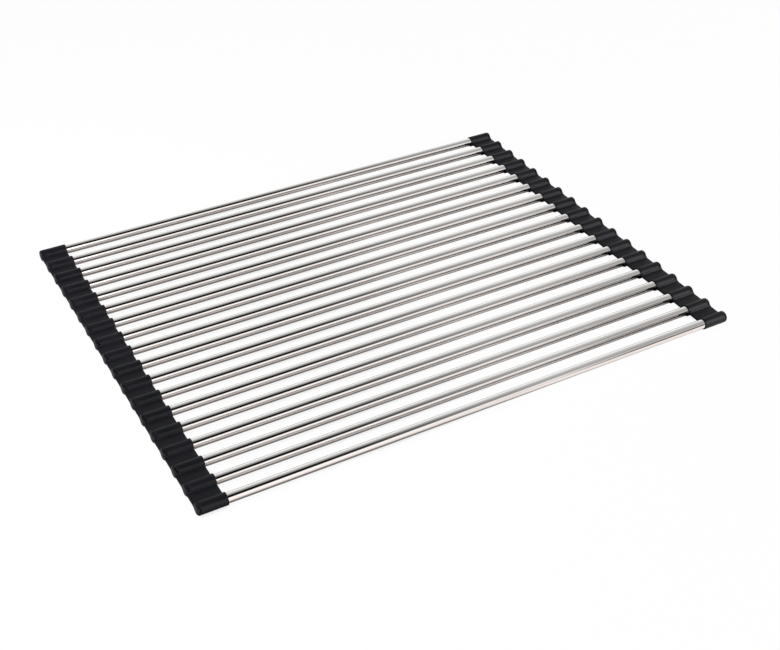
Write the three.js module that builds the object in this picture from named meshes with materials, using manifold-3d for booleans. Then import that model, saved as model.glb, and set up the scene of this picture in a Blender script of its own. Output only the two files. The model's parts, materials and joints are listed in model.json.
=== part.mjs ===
// Roll up dish drying rack: round steel tubes held at both ends in soft moulded strips.
// Millimetres, +Z up. The rack lies flat: the tubes run along X and lie side by side along Y.
// The origin is the middle of the rack, on the surface that it rests on.
//
// Each strip is one silicone moulding: a row of blind sleeves, one for each tube end, joined by thin webs
// that bend when the rack is rolled up. A web is divided along its middle, the line that it bends about,
// so that each sleeve is a link that turns with its own tube. One half of a web ends in a round bead and
// the facing half in a hollow lip round the same line, which lets the strip curl up as the soft one does.

import * as THREE from 'three';
import { mergeVertices } from 'three/addons/utils/BufferGeometryUtils.js';
import Module from 'manifold-3d';

const wasm = await Module();
wasm.setup();

// The rack
const tubeCount = 18;
const tubePitch = 20;
const overallLength = 445;

// The tubes
const tubeDiameter = 7.5;
const tubeWall = 0.5;

// The sleeves of the two end strips
const stripWidth = 22;
const sleeveWall = 0.8;
const gripClearance = 0.2;
const endWall = 2;
const tubeEndClearance = 0.3;
const closedEndRadius = 1.4;
const mouthRadius = 0.3;
const footFlatDepth = 0.15;

// The webs between the sleeves
const webThickness = 2;
const webDrop = 0.6;
const webFillet = 2;
const webOuterRecess = 0.3;
const webInnerRecess = 0.4;

// The line that each web bends about
const hingeClearance = 0.3;
const lipThickness = 1.6;
const lipTaper = 0.6;

// Flat steps that stand for a full round and for each smaller arc
const roundSegments = 14;
const closedEndSteps = 2;
const mouthSteps = 1;
const filletSteps = 2;
const beadSteps = 4;
const seatSteps = 3;

// How far a cut runs past what it cuts
const cutOverrun = 1;

const tubeRadius = tubeDiameter / 2;
const pocketRadius = tubeRadius + gripClearance;
const sleeveRadius = pocketRadius + sleeveWall;
const axisHeight = sleeveRadius - footFlatDepth;
const mouthPlace = overallLength / 2 - stripWidth;
const webTop = webThickness / 2 - webDrop;
const webBottom = webTop - webThickness;
const beadRadius = webThickness / 2;
const seatRadius = beadRadius + hingeClearance;
const rackMiddle = (tubeCount - 1) / 2;

const steel = new THREE.MeshStandardMaterial({ color: '#c8c6c4', roughness: 0.12, metalness: 1 });
const silicone = new THREE.MeshStandardMaterial({ color: '#2c2b2e', roughness: 0.6, metalness: 0 });

// How the middle of a web ends on one link, where the next link's half meets it
const WebEnd = { BEAD: 'bead', SEAT: 'seat', NONE: 'none' };

/** A solid of revolution about X, from [radius, place along X] pairs. A flat of its side faces down. */
function turned(profile) {
  const points = profile.map(([radius, place]) => new THREE.Vector2(radius, place));
  const halfFlat = Math.PI / roundSegments;
  const geometry = new THREE.LatheGeometry(points, roundSegments, halfFlat, 2 * Math.PI);
  return geometry.rotateZ(-Math.PI / 2);
}

/** Points along an arc, from one angle to another, as pairs. */
function arcPoints([centreAcross, centreUp], radius, startAngle, endAngle, steps) {
  return Array.from({ length: steps + 1 }, (_, step) => {
    const angle = startAngle + ((endAngle - startAngle) * step) / steps;
    return [centreAcross + radius * Math.cos(angle), centreUp + radius * Math.sin(angle)];
  });
}

/** A closed mesh as a solid that can be joined and cut. */
function toSolid(geometry) {
  const bare = geometry.clone();
  bare.deleteAttribute('normal');
  bare.deleteAttribute('uv');
  const merged = mergeVertices(bare);
  const corners = merged.index.array;
  const kept = [];
  for (let first = 0; first < corners.length; first += 3) {
    const [a, b, c] = corners.slice(first, first + 3);
    const hasArea = a !== b && b !== c && c !== a;
    if (hasArea) kept.push(a, b, c);
  }
  const mesh = new wasm.Mesh({
    numProp: 3,
    vertProperties: merged.attributes.position.array,
    triVerts: new Uint32Array(kept),
  });
  return new wasm.Manifold(mesh);
}

/** A joined or cut solid as a mesh geometry with flat faces. */
function toGeometry(solid) {
  const { vertProperties, triVerts } = solid.getMesh();
  const geometry = new THREE.BufferGeometry();
  geometry.setAttribute('position', new THREE.BufferAttribute(vertProperties, 3));
  geometry.setIndex(new THREE.BufferAttribute(triVerts, 1));
  const faceted = geometry.toNonIndexed();
  faceted.computeVertexNormals();
  return faceted;
}

/** A thin-walled tube, open at both ends, that stops just short of the closed ends of its two sleeves. */
function tubeGeometry() {
  const tubeEnd = overallLength / 2 - endWall - tubeEndClearance;
  const boreRadius = tubeRadius - tubeWall;
  return turned([
    [boreRadius, -tubeEnd],
    [tubeRadius, -tubeEnd],
    [tubeRadius, tubeEnd],
    [boreRadius, tubeEnd],
    [boreRadius, -tubeEnd],
  ]);
}

/** The outside of a sleeve: a plug with a well rounded closed end and a softened mouth. */
function sleeveOutside() {
  const closedEnd = overallLength / 2;
  const mouthCentre = [sleeveRadius - mouthRadius, mouthPlace + mouthRadius];
  const endCentre = [sleeveRadius - closedEndRadius, closedEnd - closedEndRadius];
  const mouth = arcPoints(mouthCentre, mouthRadius, -Math.PI / 2, 0, mouthSteps);
  const end = arcPoints(endCentre, closedEndRadius, 0, Math.PI / 2, closedEndSteps);
  return turned([[0, mouthPlace], ...mouth, ...end, [0, closedEnd]]);
}

/** The blind pocket that the tube end is pushed into. */
function pocket() {
  const start = mouthPlace - cutOverrun;
  const bottom = overallLength / 2 - endWall;
  return turned([[0, start], [pocketRadius, start], [pocketRadius, bottom], [0, bottom]]);
}

/** The round that leads the sleeve into a web's upper face at the given height, and where it touches. */
function filletAt(webFace) {
  const up = webFace + webFillet;
  const across = Math.sqrt((sleeveRadius + webFillet) ** 2 - up ** 2);
  return { centre: [across, up], touch: Math.atan2(-up, -across) };
}

/** How a half web ends at the line that it bends about: a full round, or a hollow lip that faces one. */
function webEndPoints(webEnd) {
  const hinge = [tubePitch / 2, (webTop + webBottom) / 2];
  if (webEnd === WebEnd.BEAD) return arcPoints(hinge, beadRadius, -Math.PI / 2, Math.PI / 2, beadSteps);
  const lipAngle = Math.asin(lipThickness / 2 / seatRadius);
  const taperStart = hinge[0] - seatRadius * Math.cos(lipAngle) - lipTaper;
  const seat = arcPoints(hinge, seatRadius, Math.PI + lipAngle, Math.PI - lipAngle, seatSteps);
  return [[taperStart, webBottom], ...seat, [taperStart, webTop]];
}

/**
 * Half of a web, from the middle of its sleeve to the line that the web bends about.
 * The outline is drawn from the sleeve's axis outwards, then swept along the strip's width.
 * The web's lower face is the mirror image of an upper face at the opposite height.
 */
function halfWeb(webEnd, direction) {
  const above = filletAt(webTop);
  const below = filletAt(-webBottom);
  const upper = arcPoints(above.centre, webFillet, -Math.PI / 2, above.touch, filletSteps);
  const lower = arcPoints(below.centre, webFillet, below.touch, -Math.PI / 2, filletSteps);
  const lowerFace = lower.map(([across, up]) => [across, -up]);
  const outline = [[0, 0], ...lowerFace, ...webEndPoints(webEnd), ...upper];
  const shape = new THREE.Shape(outline.map(([across, up]) => new THREE.Vector2(direction * across, up)));

  const outerEdge = overallLength / 2 - webOuterRecess;
  const innerEdge = mouthPlace + webInnerRecess;
  const web = new THREE.ExtrudeGeometry(shape, { depth: outerEdge - innerEdge, bevelEnabled: false });
  const alongRack = new THREE.Vector3(0, 1, 0);
  const upwards = new THREE.Vector3(0, 0, 1);
  const acrossStrip = new THREE.Vector3(1, 0, 0);
  web.applyMatrix4(new THREE.Matrix4().makeBasis(alongRack, upwards, acrossStrip));
  return toSolid(web.translate(innerEdge, 0, 0));
}

/** What is cut off below the sleeve to give it a narrow flat to rest on. */
function footCut() {
  const depth = sleeveRadius;
  const cut = new THREE.BoxGeometry(stripWidth + 2 * cutOverrun, 2 * tubePitch, depth);
  return cut.translate(mouthPlace + stripWidth / 2, 0, -axisHeight - depth / 2);
}

/**
 * One link of the strip at the +X end of the rack: a sleeve with its half webs.
 * Its own axis is the X axis, and the strip's two faces stay level with those of the next links.
 */
function linkGeometry(frontEnd, backEnd) {
  let link = toSolid(sleeveOutside());
  if (frontEnd !== WebEnd.NONE) link = link.add(halfWeb(frontEnd, -1));
  if (backEnd !== WebEnd.NONE) link = link.add(halfWeb(backEnd, 1));
  link = link.subtract(toSolid(pocket()));
  link = link.subtract(toSolid(footCut()));
  return toGeometry(link);
}

function namedMesh(name, geometry, material) {
  const mesh = new THREE.Mesh(geometry, material);
  mesh.name = name;
  return mesh;
}

/**
 * One rung of the rack: a tube with the strip links on its two ends.
 * The left strip is the right one turned half round, so that its front and back ends change places.
 */
function rung(index) {
  const number = String(index + 1).padStart(2, '0');
  const frontEnd = index > 0 ? WebEnd.SEAT : WebEnd.NONE;
  const backEnd = index < tubeCount - 1 ? WebEnd.BEAD : WebEnd.NONE;

  const tube = namedMesh(`tube_${number}`, tubeGeometry(), steel);
  const right = namedMesh(`right_sleeve_${number}`, linkGeometry(frontEnd, backEnd), silicone);
  const left = namedMesh(`left_sleeve_${number}`, linkGeometry(backEnd, frontEnd), silicone);
  left.rotation.z = Math.PI;

  const pieces = new THREE.Group();
  pieces.add(tube, left, right);
  pieces.position.set(0, (index - rackMiddle) * tubePitch, axisHeight);
  return pieces;
}

const rack = new THREE.Group();
for (let index = 0; index < tubeCount; index += 1) rack.add(rung(index));

export default rack;
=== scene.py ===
"""Roll up dish drying rack: the visible model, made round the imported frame.

Eighteen polished steel tubes lie side by side, and both their ends are held in a strip of soft moulded
silicone. A strip is a row of blind sleeves, one for each tube end, joined by thin webs that bend when the
rack rolls up.

Shapes are made in millimetres about the axis of their tube or the middle of their web, then moved to
their place and scaled to metres. The rack lies flat, with its tubes along X, the front tube at the
lowest Y, and Z up from what it rests on.
"""

import json
import logging
import math
from dataclasses import dataclass
from enum import Enum

import bmesh
import bpy
from mathutils import Matrix, Vector

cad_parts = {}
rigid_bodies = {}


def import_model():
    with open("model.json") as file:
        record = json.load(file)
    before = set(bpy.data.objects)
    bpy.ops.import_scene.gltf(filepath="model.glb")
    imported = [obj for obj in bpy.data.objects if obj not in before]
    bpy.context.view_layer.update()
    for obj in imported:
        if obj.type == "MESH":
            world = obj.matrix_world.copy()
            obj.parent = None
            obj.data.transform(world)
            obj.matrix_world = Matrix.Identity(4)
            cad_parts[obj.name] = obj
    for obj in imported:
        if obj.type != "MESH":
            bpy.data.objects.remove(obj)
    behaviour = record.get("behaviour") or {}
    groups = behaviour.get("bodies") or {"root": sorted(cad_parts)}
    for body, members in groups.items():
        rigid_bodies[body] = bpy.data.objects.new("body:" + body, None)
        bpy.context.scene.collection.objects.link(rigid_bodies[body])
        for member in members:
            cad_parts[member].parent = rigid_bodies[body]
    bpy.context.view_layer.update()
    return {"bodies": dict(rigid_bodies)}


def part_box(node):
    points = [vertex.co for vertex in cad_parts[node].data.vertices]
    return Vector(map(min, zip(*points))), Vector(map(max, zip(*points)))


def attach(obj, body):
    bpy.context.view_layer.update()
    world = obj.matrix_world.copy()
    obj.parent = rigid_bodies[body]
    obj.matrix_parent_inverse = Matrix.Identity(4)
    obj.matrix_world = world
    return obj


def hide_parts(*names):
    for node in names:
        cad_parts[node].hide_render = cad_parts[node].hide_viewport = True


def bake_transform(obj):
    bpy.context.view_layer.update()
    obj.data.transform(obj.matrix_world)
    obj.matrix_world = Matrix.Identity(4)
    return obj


log = logging.getLogger("rack")

# One millimetre in metres, the unit of the scene
MM = 0.001
# Corners of a shape that lie closer than this, in millimetres, are merged
MERGE_DISTANCE = 0.001
WHITE = (1.0, 1.0, 1.0, 1.0)

# The stops of a Color Ramp node: place from 0 to 1 and sRGB hex colour of each one, in rising order
Stops = tuple[tuple[float, str], ...]


class End(Enum):
    """The two ends of the tubes, with the way along X in which each one points."""

    LEFT = -1
    RIGHT = 1

    @property
    def word(self) -> str:
        """The name of this end, as used in the names of pieces."""
        return self.name.lower()


def numbered(index: int) -> str:
    """The two digits that stand for a rung in names, where the front rung has the index 0."""
    return f"{index + 1:02d}"


def linear(hex_colour: str) -> tuple[float, float, float, float]:
    """Turns an sRGB hex colour into the linear colour that a shader takes.

    Args:
        hex_colour: Six hex digits, such as "2b2a2c".

    Returns:
        Red, green, blue and an alpha of 1.
    """
    shares = [int(hex_colour[place:place + 2], 16) / 255 for place in (0, 2, 4)]
    red, green, blue = [
        share / 12.92 if share <= 0.04045 else ((share + 0.055) / 1.055) ** 2.4 for share in shares
    ]
    return red, green, blue, 1.0


def add_node(
    tree: bpy.types.NodeTree, kind: str, inputs: dict | None = None, **settings
) -> bpy.types.Node:
    """Adds a shader node, with its settings, its values and its links.

    Args:
        tree: The node tree that gets the node.
        kind: The node's type name.
        inputs: For each input, by name or number, a value or the output socket that it is linked from.
        settings: Properties of the node itself.

    Returns:
        The new node.
    """
    node = tree.nodes.new(kind)
    for setting, value in settings.items():
        setattr(node, setting, value)
    for place, value in (inputs or {}).items():
        if isinstance(value, bpy.types.NodeSocket):
            tree.links.new(value, node.inputs[place])
        else:
            node.inputs[place].default_value = value
    return node


def set_stops(ramp: bpy.types.Node, stops: Stops) -> None:
    """Gives a Color Ramp node its stops.

    Args:
        ramp: The Color Ramp node.
        stops: The stops.
    """
    elements = ramp.color_ramp.elements
    while len(elements) < len(stops):
        elements.new(1.0)
    for element, (place, hex_colour) in zip(elements, stops):
        element.position = place
        element.color = linear(hex_colour)


def new_material(name: str) -> tuple[bpy.types.Material, bpy.types.NodeTree]:
    """Makes an empty node material.

    Args:
        name: The material's name.

    Returns:
        The material and its node tree.
    """
    material = bpy.data.materials.new(name)
    material.use_nodes = True
    material.node_tree.nodes.clear()
    return material, material.node_tree


def wire(
    shape: bmesh.types.BMesh, points: list[tuple[float, float]], closed: bool
) -> list[bmesh.types.BMVert]:
    """Draws a line through points in the XZ plane.

    Args:
        shape: The mesh that gets the line.
        points: Place along X and height of each corner.
        closed: Whether the last corner is joined to the first.

    Returns:
        The corners.
    """
    corners = [shape.verts.new((along, 0, up)) for along, up in points]
    for first, second in zip(corners, corners[1:]):
        shape.edges.new((first, second))
    if closed:
        shape.edges.new((corners[-1], corners[0]))
    return corners


def divided(start: tuple[float, float], end: tuple[float, float], steps: int) -> list[tuple[float, float]]:
    """Divides a straight stretch of a line, so that its shading stays even.

    Args:
        start: The first point.
        end: The last point.
        steps: The number of equal steps.

    Returns:
        The points, with both ends.
    """
    shares = [step / steps for step in range(steps + 1)]
    return [tuple(Vector(start).lerp(Vector(end), share)) for share in shares]


def soften(shape: bmesh.types.BMesh, corner: bmesh.types.BMVert, radius: float, segments: int) -> None:
    """Rounds one corner of a drawn line.

    Args:
        shape: The mesh that holds the line.
        corner: The corner.
        radius: How far from the corner the round starts.
        segments: The number of straight steps in the round.
    """
    bmesh.ops.bevel(
        shape, geom=[corner], offset=radius, segments=segments, profile=0.5, affect="VERTICES", material=-1
    )


def spin_about_x(shape: bmesh.types.BMesh, sides: int) -> None:
    """Turns the drawn line once round the X axis into a closed surface.

    Args:
        shape: The mesh that holds the line.
        sides: The number of flat steps in the full round.
    """
    bmesh.ops.spin(
        shape, geom=shape.verts[:] + shape.edges[:], cent=(0, 0, 0), axis=(1, 0, 0), dvec=(0, 0, 0),
        angle=2 * math.pi, steps=sides, use_merge=True, use_duplicate=False
    )


def to_piece(
    shape: bmesh.types.BMesh, name: str, place: Vector, finish: bpy.types.Material
) -> bpy.types.Object:
    """Turns a finished shape into a smooth object, with its place in its mesh.

    Args:
        shape: The shape in millimetres, which is used up.
        name: The object's name.
        place: Where the shape's origin goes, in millimetres.
        finish: The material of the whole piece.

    Returns:
        The object.
    """
    bmesh.ops.remove_doubles(shape, verts=shape.verts, dist=MERGE_DISTANCE)
    bmesh.ops.recalc_face_normals(shape, faces=shape.faces)
    bmesh.ops.translate(shape, verts=shape.verts, vec=place)
    bmesh.ops.scale(shape, verts=shape.verts, vec=(MM, MM, MM))
    for face in shape.faces:
        face.smooth = True
    mesh = bpy.data.meshes.new(name)
    shape.to_mesh(mesh)
    shape.free()
    mesh.materials.append(finish)
    piece = bpy.data.objects.new(name, mesh)
    bpy.context.scene.collection.objects.link(piece)
    return piece


@dataclass(frozen=True)
class PolishedSteel:
    """Stainless steel, drawn into a tube and polished: a bright mirror with faint lines along it."""

    name: str = "polished_stainless_steel"
    slot: str = "polished_steel"
    colour: str = "f3f1f0"
    worn_colour: str = "ebe8e7"
    roughness_low: float = 0.05
    roughness_high: float = 0.12
    # Draw lines are a few hundredths of a millimetre apart, and are drawn ten times as wide to show at all
    line_width: float = 0.5
    line_length: float = 90.0
    line_depth: float = 0.002
    line_strength: float = 0.06
    line_detail: float = 3.0
    # Handling leaves wide, faint, duller stretches; the levels of the noise where they start and are full
    haze_length: float = 45.0
    haze_detail: float = 2.0
    haze_starts: float = 0.35
    haze_full: float = 0.7

    def material(self) -> bpy.types.Material:
        """Builds the steel's material."""
        material, tree = new_material(self.name)
        place = add_node(tree, "ShaderNodeTexCoord").outputs["Object"]
        along = 1 / (self.line_length * MM)
        across = 1 / (self.line_width * MM)
        stretched = add_node(
            tree, "ShaderNodeMapping", {"Vector": place, "Scale": (along, across, across)}
        )
        lines = add_node(
            tree, "ShaderNodeTexNoise",
            {"Vector": stretched.outputs["Vector"], "Scale": 1.0, "Detail": self.line_detail},
        )
        haze_scale = 1 / (self.haze_length * MM)
        haze = add_node(
            tree, "ShaderNodeTexNoise",
            {"Vector": place, "Scale": haze_scale, "Detail": self.haze_detail},
        )
        roughness = add_node(
            tree, "ShaderNodeMapRange",
            {"Value": haze.outputs["Fac"], "From Min": self.haze_starts, "From Max": self.haze_full,
             "To Min": self.roughness_low, "To Max": self.roughness_high},
        )
        tone = add_node(
            tree, "ShaderNodeMix",
            {"Factor": haze.outputs["Fac"], "A": linear(self.colour), "B": linear(self.worn_colour)},
            data_type="RGBA",
        )
        grain = add_node(
            tree, "ShaderNodeBump",
            {"Height": lines.outputs["Fac"], "Strength": self.line_strength,
             "Distance": self.line_depth * MM},
        )
        surface = add_node(
            tree, "ShaderNodeBsdfPrincipled",
            {"Base Color": tone.outputs["Result"], "Metallic": 1.0,
             "Roughness": roughness.outputs["Result"], "Normal": grain.outputs["Normal"]},
        )
        add_node(tree, "ShaderNodeOutputMaterial", {"Surface": surface.outputs["BSDF"]})
        return material


@dataclass(frozen=True)
class SatinSilicone:
    """Black silicone rubber from a satin mould: near black and slightly uneven, with a dull sheen."""

    name: str = "satin_moulded_silicone"
    slot: str = "black_silicone"
    colour: str = "090a0e"
    pale_colour: str = "100f15"
    roughness_low: float = 0.46
    roughness_high: float = 0.56
    specular_level: float = 0.26
    index: float = 1.41
    # The mould's satin is a grain of about a tenth of a millimetre, drawn coarser so that it shows
    grain_width: float = 0.45
    grain_depth: float = 0.02
    grain_strength: float = 0.35
    grain_detail: float = 3.0
    # The bloom that silicone sweats out lies in soft patches; the levels of the noise where they start
    # and are full
    bloom_width: float = 14.0
    bloom_detail: float = 4.0
    bloom_starts: float = 0.38
    bloom_full: float = 0.66

    def material(self) -> bpy.types.Material:
        """Builds the silicone's material."""
        material, tree = new_material(self.name)
        place = add_node(tree, "ShaderNodeTexCoord").outputs["Object"]
        grain_scale = 1 / (self.grain_width * MM)
        grain = add_node(
            tree, "ShaderNodeTexNoise",
            {"Vector": place, "Scale": grain_scale, "Detail": self.grain_detail},
        )
        bloom_scale = 1 / (self.bloom_width * MM)
        bloom = add_node(
            tree, "ShaderNodeTexNoise",
            {"Vector": place, "Scale": bloom_scale, "Detail": self.bloom_detail},
        )
        patches = add_node(
            tree, "ShaderNodeMapRange",
            {"Value": bloom.outputs["Fac"], "From Min": self.bloom_starts, "From Max": self.bloom_full},
        )
        tone = add_node(
            tree, "ShaderNodeMix",
            {"Factor": patches.outputs["Result"], "A": linear(self.colour), "B": linear(self.pale_colour)},
            data_type="RGBA",
        )
        roughness = add_node(
            tree, "ShaderNodeMapRange",
            {"Value": patches.outputs["Result"], "To Min": self.roughness_low,
             "To Max": self.roughness_high},
        )
        satin = add_node(
            tree, "ShaderNodeBump",
            {"Height": grain.outputs["Fac"], "Strength": self.grain_strength,
             "Distance": self.grain_depth * MM},
        )
        surface = add_node(
            tree, "ShaderNodeBsdfPrincipled",
            {"Base Color": tone.outputs["Result"], "Roughness": roughness.outputs["Result"],
             "IOR": self.index, "Specular IOR Level": self.specular_level,
             "Normal": satin.outputs["Normal"]},
        )
        add_node(tree, "ShaderNodeOutputMaterial", {"Surface": surface.outputs["BSDF"]})
        return material


@dataclass(frozen=True)
class RackSizes:
    """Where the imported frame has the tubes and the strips, in millimetres."""

    rung_places: tuple[float, ...]
    axis_height: float
    tube_radius: float
    tube_end: float
    sleeve_radius: float
    closed_end: float
    mouth: float

    @classmethod
    def from_frame(cls, rung_count: int) -> "RackSizes":
        """Reads the sizes from the frame's boxes.

        Args:
            rung_count: The number of tubes.

        Returns:
            The sizes.
        """
        tubes = [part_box(f"tube_{numbered(index)}") for index in range(rung_count)]
        low, high = (Vector(corner) / MM for corner in tubes[0])
        sleeve_low, sleeve_high = (Vector(corner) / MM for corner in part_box("right_sleeve_01"))
        axis_height = (low.z + high.z) / 2
        return cls(
            rung_places=tuple((lowest[1] + highest[1]) / 2 / MM for lowest, highest in tubes),
            axis_height=axis_height,
            tube_radius=(high.y - low.y) / 2,
            tube_end=high.x,
            sleeve_radius=sleeve_high.z - axis_height,
            closed_end=sleeve_high.x,
            mouth=sleeve_low.x,
        )

    @property
    def rung_count(self) -> int:
        """The number of tubes."""
        return len(self.rung_places)

    @property
    def pitch(self) -> float:
        """The distance between the axes of neighbouring tubes."""
        return (self.rung_places[-1] - self.rung_places[0]) / (self.rung_count - 1)

    def middle_of(self, index: int) -> Vector:
        """The middle of one tube."""
        return Vector((0, self.rung_places[index], self.axis_height))


@dataclass
class SteelTube:
    """A thin-walled tube, cut square and deburred, open at both ends."""

    sizes: RackSizes
    finish: bpy.types.Material
    wall: float = 0.5
    deburr: float = 0.12
    deburr_steps: int = 3
    # Rings this far from the ends keep the long faces true
    guard: float = 1.0
    sides: int = 64

    def build(self, index: int) -> bpy.types.Object:
        """Makes the tube of one rung.

        Args:
            index: The rung, from 0 at the front.

        Returns:
            The tube, which rides on its rung and stands for the frame's tube.
        """
        outer = self.sizes.tube_radius
        bore = outer - self.wall
        end = self.sizes.tube_end
        shape = bmesh.new()
        corners = wire(
            shape,
            [(-end, bore), (-end, outer), (self.guard - end, outer), (end - self.guard, outer),
             (end, outer), (end, bore), (end - self.guard, bore), (self.guard - end, bore)],
            closed=True,
        )
        rims = [corners[0], corners[1], corners[4], corners[5]]
        for rim in rims:
            soften(shape, rim, self.deburr, self.deburr_steps)
        spin_about_x(shape, self.sides)

        number = numbered(index)
        tube = to_piece(shape, f"steel_tube_{number}", self.sizes.middle_of(index), self.finish)
        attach(tube, f"rung_{number}")
        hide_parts(f"tube_{number}")
        return tube


@dataclass
class Sleeve:
    """A blind sleeve that grips a tube end: round, with a domed closed end and a soft lip at its mouth."""

    sizes: RackSizes
    finish: bpy.types.Material
    end: End
    # The three rounds, each with its number of straight steps
    closed_radius: float = 1.5
    closed_steps: int = 9
    lip_radius: float = 0.35
    lip_steps: int = 5
    lead_in_radius: float = 0.2
    lead_in_steps: int = 3
    # How far the middle of the closed end stands proud of its rim
    dome: float = 0.3
    # The mouth hugs the tube, with a hair's breadth kept so that the faces don't meet
    grip_gap: float = 0.03
    # Rings this far from the rounds keep the long faces true
    guard: float = 1.6
    end_rings: int = 4
    side_rings: int = 9
    pocket_rings: int = 2
    sides: int = 72

    def build(self, index: int) -> bpy.types.Object:
        """Makes the sleeve of one rung.

        Args:
            index: The rung, from 0 at the front.

        Returns:
            The sleeve, which rides on its rung and stands for the frame's link of the strip.
        """
        outer = self.sizes.sleeve_radius
        pocket = self.sizes.tube_radius + self.grip_gap
        closed, mouth = self.sizes.closed_end, self.sizes.mouth
        pocket_end = self.sizes.tube_end + self.grip_gap
        rim, lip, lead_in = (closed, outer), (mouth, outer), (mouth, pocket)
        points = [
            *divided((closed, 0), (closed, outer - self.guard), self.end_rings),
            rim,
            *divided((closed - self.guard, outer), (mouth + self.guard, outer), self.side_rings),
            lip,
            lead_in,
            *divided((mouth + self.guard, pocket), (pocket_end, pocket), self.pocket_rings),
            (pocket_end, 0),
        ]
        shape = bmesh.new()
        corners = wire(shape, points, closed=False)
        soften(shape, corners[points.index(rim)], self.closed_radius, self.closed_steps)
        soften(shape, corners[points.index(lip)], self.lip_radius, self.lip_steps)
        soften(shape, corners[points.index(lead_in)], self.lead_in_radius, self.lead_in_steps)
        self._dome_closed_end(shape)
        spin_about_x(shape, self.sides)
        if self.end is End.LEFT:
            half_turn = Matrix.Rotation(math.pi, 3, "Z")
            bmesh.ops.rotate(shape, verts=shape.verts, cent=(0, 0, 0), matrix=half_turn)
        self._flatten_foot(shape)

        number = numbered(index)
        sleeve = to_piece(
            shape, f"{self.end.word}_grip_{number}", self.sizes.middle_of(index), self.finish
        )
        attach(sleeve, f"rung_{number}")
        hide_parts(f"{self.end.word}_sleeve_{number}")
        return sleeve

    def _dome_closed_end(self, shape: bmesh.types.BMesh) -> None:
        """Draws the closed end back towards its rim, so that its middle is slightly proud."""
        near_end = self.sizes.closed_end - self.closed_radius
        for vertex in shape.verts:
            if vertex.co.x >= near_end:
                share = vertex.co.z / self.sizes.sleeve_radius
                vertex.co.x -= self.dome * share ** 2

    def _flatten_foot(self, shape: bmesh.types.BMesh) -> None:
        """Presses the lowest line of the sleeve flat where it rests."""
        for vertex in shape.verts:
            vertex.co.z = max(vertex.co.z, -self.sizes.axis_height)


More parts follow.
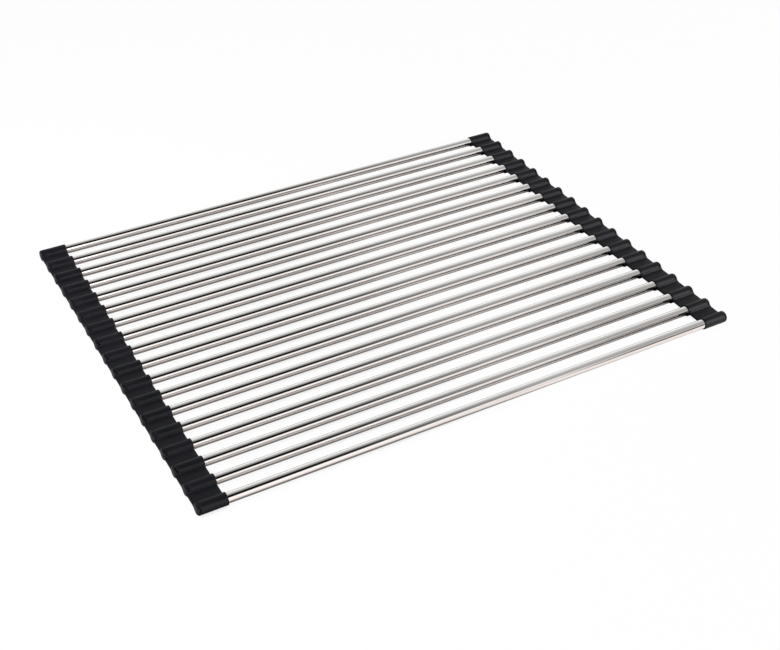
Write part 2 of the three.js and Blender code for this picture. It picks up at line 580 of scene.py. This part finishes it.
@dataclass
class Web:
    """The thin web between two sleeves: it meets both with a fillet and bends when the rack rolls up."""

    sizes: RackSizes
    finish: bpy.types.Material
    end: End
    thickness: float = 2.0
    # How far the web's middle lies below the tubes' axes
    drop: float = 0.6
    fillet: float = 2.0
    fillet_steps: int = 7
    flat_steps: int = 11
    # How far the web's edges lie inside the closed ends and the mouths of the sleeves
    outer_recess: float = 0.3
    inner_recess: float = 0.4
    columns: int = 10
    edge_radius: float = 0.6
    edge_steps: int = 4
    # How deep the fillet's end is sunk into the sleeve, so that no edge shows there
    sink: float = 0.02
    # Half the length of web that bends, about the line in the middle
    half_bend: float = 4.2

    def build(self, index: int) -> bpy.types.Object:
        """Makes the web behind one rung.

        Args:
            index: The rung in front of the web, from 0 at the front.

        Returns:
            The web, which lies between its two rungs.
        """
        shape = self._slab()
        self._bend_to_profile(shape)
        self._round_edges(shape)

        front, back = numbered(index), numbered(index + 1)
        middle = (self.sizes.rung_places[index] + self.sizes.rung_places[index + 1]) / 2
        place = Vector((0, middle, self.sizes.axis_height))
        web = to_piece(shape, f"{self.end.word}_web_{front}", place, self.finish)
        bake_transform(web)
        return web

    @property
    def rows(self) -> int:
        """The number of steps from one sleeve to the next."""
        return 2 * (self.fillet_steps + self.flat_steps)

    def _slab(self) -> bmesh.types.BMesh:
        """Makes a block of unit depth and height, as wide as the web, divided into rows and columns."""
        outer = self.end.value * (self.sizes.closed_end - self.outer_recess)
        inner = self.end.value * (self.sizes.mouth + self.inner_recess)
        shape = bmesh.new()
        bmesh.ops.create_cube(shape, size=1.0)
        bmesh.ops.scale(shape, verts=shape.verts, vec=(abs(outer - inner), 1, 1))
        bmesh.ops.translate(shape, verts=shape.verts, vec=((outer + inner) / 2, 0, 0))
        for axis, cuts in ((1, self.rows - 1), (0, self.columns - 1)):
            along = [edge for edge in shape.edges if self._runs_along(edge, axis)]
            bmesh.ops.subdivide_edges(shape, edges=along, cuts=cuts, use_grid_fill=True)
        return shape

    @staticmethod
    def _runs_along(edge: bmesh.types.BMEdge, axis: int) -> bool:
        """Whether an edge of the block lies mostly along X, Y or Z, given as 0, 1 or 2."""
        way = edge.verts[1].co - edge.verts[0].co
        return abs(way[axis]) > way.length / 2

    def _face_point(self, row: int, height: float) -> tuple[float, float]:
        """Finds where one row of a face of the web lies.

        Args:
            row: The row, from 0 at the front sleeve.
            height: The height of the face's flat above the tubes' axes, without its sign.

        Returns:
            The place along Y from the web's middle, and the height away from the tubes' axes.
        """
        radius = self.sizes.sleeve_radius - self.sink
        half_pitch = self.sizes.pitch / 2
        centre_height = height + self.fillet
        centre_across = math.sqrt((radius + self.fillet) ** 2 - centre_height ** 2)
        back_half = row > self.rows / 2
        step = self.rows - row if back_half else row
        if step <= self.fillet_steps:
            first = math.atan2(-centre_height, -centre_across)
            angle = first + (-math.pi / 2 - first) * step / self.fillet_steps
            across = centre_across + self.fillet * math.cos(angle)
            up = centre_height + self.fillet * math.sin(angle)
        else:
            share = (step - self.fillet_steps) / self.flat_steps
            across = centre_across + (half_pitch - centre_across) * share
            up = height
        from_middle = half_pitch - across
        return (from_middle if back_half else -from_middle), up

    def _bend_to_profile(self, shape: bmesh.types.BMesh) -> None:
        """Moves the block's rows onto the web's upper and lower faces."""
        top = self.thickness / 2 - self.drop
        bottom = self.thickness / 2 + self.drop
        for vertex in shape.verts:
            row = round((vertex.co.y + 1 / 2) * self.rows)
            is_top = vertex.co.z > 0
            place, up = self._face_point(row, top if is_top else bottom)
            vertex.co.y = place
            vertex.co.z = up if is_top else -up

    def _round_edges(self, shape: bmesh.types.BMesh) -> None:
        """Rounds the long edges of the web on its inner and outer side."""
        places = [vertex.co.x for vertex in shape.verts]
        sides = (min(places), max(places))
        rims = []
        for edge in shape.edges:
            first, second = (corner.co for corner in edge.verts)
            is_at_side = first.x == second.x and first.x in sides
            keeps_to_one_face = (first.z > -self.drop) == (second.z > -self.drop)
            if is_at_side and keeps_to_one_face:
                rims.append(edge)
        bmesh.ops.bevel(
            shape, geom=rims, offset=self.edge_radius, segments=self.edge_steps, profile=0.5,
            affect="EDGES", material=-1
        )


@dataclass
class EndStrip:
    """One moulded strip: eighteen sleeves and the seventeen webs between them."""

    sizes: RackSizes
    finish: bpy.types.Material
    end: End

    def build(self) -> list[bpy.types.Object]:
        """Makes the strip's pieces, from the front to the back."""
        sleeve = Sleeve(self.sizes, self.finish, self.end)
        web = Web(self.sizes, self.finish, self.end)
        sleeves = [sleeve.build(index) for index in range(self.sizes.rung_count)]
        webs = [web.build(index) for index in range(self.sizes.rung_count - 1)]
        return sleeves + webs


@dataclass(frozen=True)
class Change:
    """A value that changes along X: where the change starts and ends, and the value at each of the two."""

    start: float
    end: float
    first: float = 0.0
    last: float = 1.0

    def inputs(self, across: bpy.types.NodeSocket) -> dict[str, bpy.types.NodeSocket | float]:
        """Gives the inputs of a Map Range node that makes this change.

        Args:
            across: The X that the value follows.

        Returns:
            Each input's name with what it gets.
        """
        return {
            "Value": across, "From Min": self.start, "From Max": self.end,
            "To Min": self.first, "To Max": self.last,
        }


@dataclass(frozen=True)
class SoftLamp:
    """A square lamp that faces the rack: its place and side are in metres, and its power is in watts."""

    name: str
    place: tuple[float, float, float]
    side: float
    power: float
    colour: str = "ffffff"
    is_mirrored: bool = False

    def build(self) -> None:
        """Hangs the lamp."""
        lamp = bpy.data.lights.new(self.name, "AREA")
        lamp.shape = "SQUARE"
        lamp.size = self.side
        lamp.energy = self.power
        lamp.color = linear(self.colour)[:3]
        holder = bpy.data.objects.new(self.name, lamp)
        holder.location = self.place
        holder.rotation_euler = (-Vector(self.place)).to_track_quat("-Z", "Y").to_euler()
        holder.visible_glossy = self.is_mirrored
        bpy.context.scene.collection.objects.link(holder)


@dataclass(frozen=True)
class Studio:
    """A plain pale floor, soft light from all round and the photograph's camera. Lengths are in metres."""

    floor_size: float = 12.0
    floor_colour: str = "f2f2f2"
    # How much of the floor is plain white to the eye; in mirrors all of it is, painted slightly warm there
    eye_white_share: float = 0.97
    mirror_white: str = "fff7f3"
    # Painted shade near things, drawn into that white from how open the floor is to the sky: how far it
    # reaches, how open the floor is where it is full and where it has ended, and the light left where it
    # is full
    eye_shade_reach: float = 0.004
    eye_shade_full: float = 0.15
    eye_shade_ended: float = 0.34
    eye_shade_light: float = 0.75
    # Mirrors see a deeper painted shade between the tubes, wider and darker towards the right end
    mirror_shade_reach: Change = Change(start=0.04, end=0.2, first=0.0115, last=0.030)
    mirror_shade_full: float = 0.66
    mirror_shade_ended: float = 0.94
    mirror_shade_light: Change = Change(start=0.04, end=0.2, first=0.20, last=0.0)
    # How far the painted shade leans: at the left it lies in front of the tubes and at the right behind
    # them
    shade_lean: Change = Change(start=-0.2, end=0.2, first=1.4, last=-1.6)
    shade_samples: int = 8
    sky_strength: float = 0.12
    # What mirrors see of the room: panels that arch over the rack, from the back, 0, to the front, 1
    left_panel: Stops = (
        (0.0, "ffffff"), (0.12, "f4f5f4"), (0.21, "dbdddb"), (0.37, "b1b2b1"), (0.50, "7c7c7b"),
        (0.55, "0a0a0a"), (0.76, "0a0a0a"), (0.80, "fffcfa"), (1.0, "fffaf6"),
    )
    right_panel: Stops = (
        (0.0, "ffffff"), (0.12, "f8f9f8"), (0.31, "cacccb"), (0.47, "b3b4b3"), (0.68, "a2a19f"),
        (0.76, "c6c3c0"), (0.84, "efedeb"), (0.93, "dfdcd9"), (1.0, "b4b1af"),
    )
    far_right_panel: Stops = (
        (0.0, "ffffff"), (0.12, "f8f9f8"), (0.31, "cacccb"), (0.47, "afb0af"), (0.68, "9c9b99"),
        (0.76, "b4b1ae"), (0.84, "b4b1ae"), (0.90, "4a4948"), (1.0, "141414"),
    )
    # Where one panel turns into the next, and the last one back into the left one, as the X part of the
    # way that a ray takes
    left_to_right: Change = Change(start=0.32, end=0.53)
    right_to_far_right: Change = Change(start=0.49, end=0.56)
    far_right_to_left: Change = Change(start=0.68, end=0.85)
    # The panels are dimmer at the left, where a bright strip runs low in front of the rack
    panel_strength: Change = Change(start=-0.05, end=0.22, first=0.75, last=1.18)
    strip: Stops = (
        (0.0, "000000"), (0.64, "000000"), (0.78, "ffffff"), (0.93, "ffffff"), (1.0, "000000"),
    )
    strip_strength: Change = Change(start=0.10, end=0.23, first=3.4, last=0.0)
    # Three lamps that nothing mirrors, behind, at the left and in front, and a mirrored one far out at
    # the right
    lamps: tuple[SoftLamp, ...] = (
        SoftLamp("back_softbox", place=(-0.2, 1.4, 2.0), side=0.7, power=2.5),
        SoftLamp("left_softbox", place=(-0.55, 0.1, 0.35), side=0.3, power=5.0),
        SoftLamp("front_softbox", place=(-0.08, -1.27, 0.58), side=0.3, power=5.5, colour="fbfaff"),
        SoftLamp(
            "right_softbox", place=(1.8, -0.95, 0.5), side=0.8, power=44.0, colour="f8f6ff",
            is_mirrored=True,
        ),
    )
    # The camera, fitted to the photograph; the focal length is in its pixels, and the sensor is a
    # full frame in millimetres
    photo_width_px: float = 780.0
    focal_px: float = 1255.0
    sensor_width: float = 36.0
    nearest: float = 0.01
    yaw: float = math.radians(29.615)
    pitch: float = math.radians(36.286)
    roll: float = math.radians(0.562)
    distance: float = 0.9735
    target: tuple[float, float, float] = (-0.01372, -0.05453, 0.0046)

    def build(self) -> None:
        """Makes the floor, the sky, the lamps and the camera."""
        self._floor()
        self._sky()
        for lamp in self.lamps:
            lamp.build()
        self._camera()

    def _floor(self) -> None:
        """Lays the floor, one large square."""
        shape = bmesh.new()
        bmesh.ops.create_grid(shape, x_segments=1, y_segments=1, size=self.floor_size / 2)
        mesh = bpy.data.meshes.new("floor")
        shape.to_mesh(mesh)
        shape.free()
        mesh.materials.append(self._floor_material())
        floor = bpy.data.objects.new("floor", mesh)
        bpy.context.scene.collection.objects.link(floor)

    def _floor_material(self) -> bpy.types.Material:
        """Makes the floor matt and pale, white to the eye and in mirrors, with painted shade near things.
        """
        material, tree = new_material("pale_floor")
        matt = add_node(tree, "ShaderNodeBsdfDiffuse", {"Color": linear(self.floor_colour)})
        rays = add_node(tree, "ShaderNodeLightPath")
        is_eye = rays.outputs["Is Camera Ray"]
        is_mirrored = add_node(
            tree, "ShaderNodeMath",
            {0: rays.outputs["Is Glossy Ray"], 1: rays.outputs["Is Transmission Ray"]},
            operation="MAXIMUM",
        )
        # The floor's white as mirrors see it is painted slightly warm
        tint = add_node(
            tree, "ShaderNodeMix", {"Factor": is_eye, "A": linear(self.mirror_white), "B": WHITE},
            data_type="RGBA",
        )
        white = add_node(
            tree, "ShaderNodeEmission",
            {"Color": tint.outputs["Result"], "Strength": self._floor_light(tree, is_eye)},
        )
        share = add_node(
            tree, "ShaderNodeMath",
            {0: is_eye, 1: self.eye_white_share, 2: is_mirrored.outputs["Value"]},
            operation="MULTIPLY_ADD",
        )
        mixed = add_node(
            tree, "ShaderNodeMixShader",
            {0: share.outputs["Value"], 1: matt.outputs["BSDF"], 2: white.outputs["Emission"]},
        )
        add_node(tree, "ShaderNodeOutputMaterial", {"Surface": mixed.outputs["Shader"]})
        return material

    def _floor_light(
        self, tree: bpy.types.NodeTree, is_eye: bpy.types.NodeSocket
    ) -> bpy.types.NodeSocket:
        """Works out how light the floor's white is: full in the open, less where shade is painted near
        things.

        Args:
            tree: The floor's node tree.
            is_eye: 1 where the eye looks at the floor, and 0 where a mirror does.

        Returns:
            The light, from 0 to 1.
        """
        place = add_node(tree, "ShaderNodeTexCoord").outputs["Object"]
        across = add_node(tree, "ShaderNodeSeparateXYZ", {"Vector": place}).outputs["X"]
        lean, mirror_reach, mirror_light = [
            add_node(tree, "ShaderNodeMapRange", change.inputs(across)).outputs["Result"]
            for change in (self.shade_lean, self.mirror_shade_reach, self.mirror_shade_light)
        ]
        mirror_and_eye_values = (
            (mirror_reach, self.eye_shade_reach),
            (self.mirror_shade_full, self.eye_shade_full),
            (self.mirror_shade_ended, self.eye_shade_ended),
            (mirror_light, self.eye_shade_light),
        )
        picks = [
            add_node(tree, "ShaderNodeMapRange", {"Value": is_eye, "To Min": in_mirrors, "To Max": to_eye})
            for in_mirrors, to_eye in mirror_and_eye_values
        ]
        reach, full, ended, light_left = [pick.outputs["Result"] for pick in picks]
        leaning = add_node(tree, "ShaderNodeCombineXYZ", {"Y": lean, "Z": 1.0})
        upwards = add_node(
            tree, "ShaderNodeVectorMath", {0: leaning.outputs["Vector"]}, operation="NORMALIZE"
        )
        openness = add_node(
            tree, "ShaderNodeAmbientOcclusion", {"Distance": reach, "Normal": upwards.outputs["Vector"]},
            samples=self.shade_samples,
        )
        # Painted shade: the white dims where the floor is hemmed in by things near it
        light = add_node(
            tree, "ShaderNodeMapRange",
            {"Value": openness.outputs["AO"], "From Min": full, "From Max": ended, "To Min": light_left},
        )
        return light.outputs["Result"]

    def _sky(self) -> None:
        """Makes the room: white to the eye, even light on things, and panels with dark gaps in mirrors."""
        world = bpy.data.worlds.new("studio")
        bpy.context.scene.world = world
        world.use_nodes = True
        tree = world.node_tree
        tree.nodes.clear()
        panels, strength = self._panels(tree)
        rays = add_node(tree, "ShaderNodeLightPath")
        mirrored = add_node(tree, "ShaderNodeBackground", {"Color": panels, "Strength": strength})
        even = add_node(tree, "ShaderNodeBackground", {"Color": WHITE, "Strength": self.sky_strength})
        white = add_node(tree, "ShaderNodeBackground", {"Color": WHITE})
        lit = add_node(
            tree, "ShaderNodeMixShader",
            {0: rays.outputs["Is Glossy Ray"], 1: even.outputs["Background"],
             2: mirrored.outputs["Background"]},
        )
        seen = add_node(
            tree, "ShaderNodeMixShader",
            {0: rays.outputs["Is Camera Ray"], 1: lit.outputs["Shader"], 2: white.outputs["Background"]},
        )
        add_node(tree, "ShaderNodeOutputWorld", {"Surface": seen.outputs["Shader"]})

    def _panels(self, tree: bpy.types.NodeTree) -> tuple[bpy.types.NodeSocket, bpy.types.NodeSocket]:
        """Sets the panels side by side from left to right, with the low strip in front of the left ones.

        Args:
            tree: The world's node tree.

        Returns:
            The colour and the strength of what a ray meets.
        """
        way = add_node(tree, "ShaderNodeTexCoord").outputs["Object"]
        parts = add_node(tree, "ShaderNodeSeparateXYZ", {"Vector": way})
        turn = add_node(
            tree, "ShaderNodeMath", {0: parts.outputs["Z"], 1: parts.outputs["Y"]}, operation="ARCTAN2"
        )
        half_turns = add_node(
            tree, "ShaderNodeMath", {0: turn.outputs["Value"], 1: math.pi}, operation="DIVIDE"
        )
        colours = []
        for stops in (self.left_panel, self.right_panel, self.far_right_panel, self.strip):
            ramp = add_node(tree, "ShaderNodeValToRGB", {"Fac": half_turns.outputs["Value"]})
            set_stops(ramp, stops)
            colours.append(ramp.outputs["Color"])
        left, right, far_right, strip = colours

        changes = (
            self.left_to_right, self.right_to_far_right, self.far_right_to_left,
            self.panel_strength, self.strip_strength,
        )
        levels = [
            add_node(
                tree, "ShaderNodeMapRange", change.inputs(parts.outputs["X"]),
                interpolation_type="SMOOTHSTEP",
            )
            for change in changes
        ]
        *shares, panel_strength, strip_strength = [level.outputs["Result"] for level in levels]
        panels = left
        for share, panel in zip(shares, (right, far_right, left)):
            blended = add_node(
                tree, "ShaderNodeMix", {"Factor": share, "A": panels, "B": panel}, data_type="RGBA"
            )
            panels = blended.outputs["Result"]
        strength = add_node(
            tree, "ShaderNodeMath", {0: strip, 1: strip_strength, 2: panel_strength},
            operation="MULTIPLY_ADD",
        )
        return panels, strength.outputs["Value"]

    def _camera(self) -> None:
        """Sets the camera where the photograph was taken from."""
        forward = Vector((
            math.sin(self.yaw) * math.cos(self.pitch), math.cos(self.yaw) * math.cos(self.pitch),
            -math.sin(self.pitch),
        ))
        level = Vector((math.cos(self.yaw), -math.sin(self.yaw), 0))
        upright = level.cross(forward)
        right = level * math.cos(self.roll) + upright * math.sin(self.roll)
        up = upright * math.cos(self.roll) - level * math.sin(self.roll)
        turn = Matrix((right, up, -forward)).transposed().to_4x4()
        lens = bpy.data.cameras.new("photo_camera")
        lens.sensor_width = self.sensor_width
        lens.lens = self.focal_px / self.photo_width_px * self.sensor_width
        lens.clip_start = self.nearest
        camera = bpy.data.objects.new("photo_camera", lens)
        camera.matrix_world = Matrix.Translation(Vector(self.target) - forward * self.distance) @ turn
        bpy.context.scene.collection.objects.link(camera)
        bpy.context.scene.camera = camera


def build_rack(sizes: RackSizes) -> None:
    """Builds the tubes and the two strips and reports each piece.

    Args:
        sizes: The sizes of the frame.
    """
    steel = PolishedSteel().material()
    silicone = SatinSilicone().material()
    tube = SteelTube(sizes, steel)
    pieces = [tube.build(index) for index in range(sizes.rung_count)]
    for end in End:
        pieces += EndStrip(sizes, silicone, end).build()
    for piece in pieces:
        log.info("%s: %d faces", piece.name, len(piece.data.polygons))


def main() -> None:
    """Loads the frame, dresses it and lights it."""
    logging.basicConfig(level=logging.INFO, format="%(name)s: %(message)s")
    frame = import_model()
    rung_count = len(frame["bodies"])
    build_rack(RackSizes.from_frame(rung_count))
    Studio().build()
    bpy.context.scene.view_settings.view_transform = "Standard"


if __name__ == "__main__":
    main()
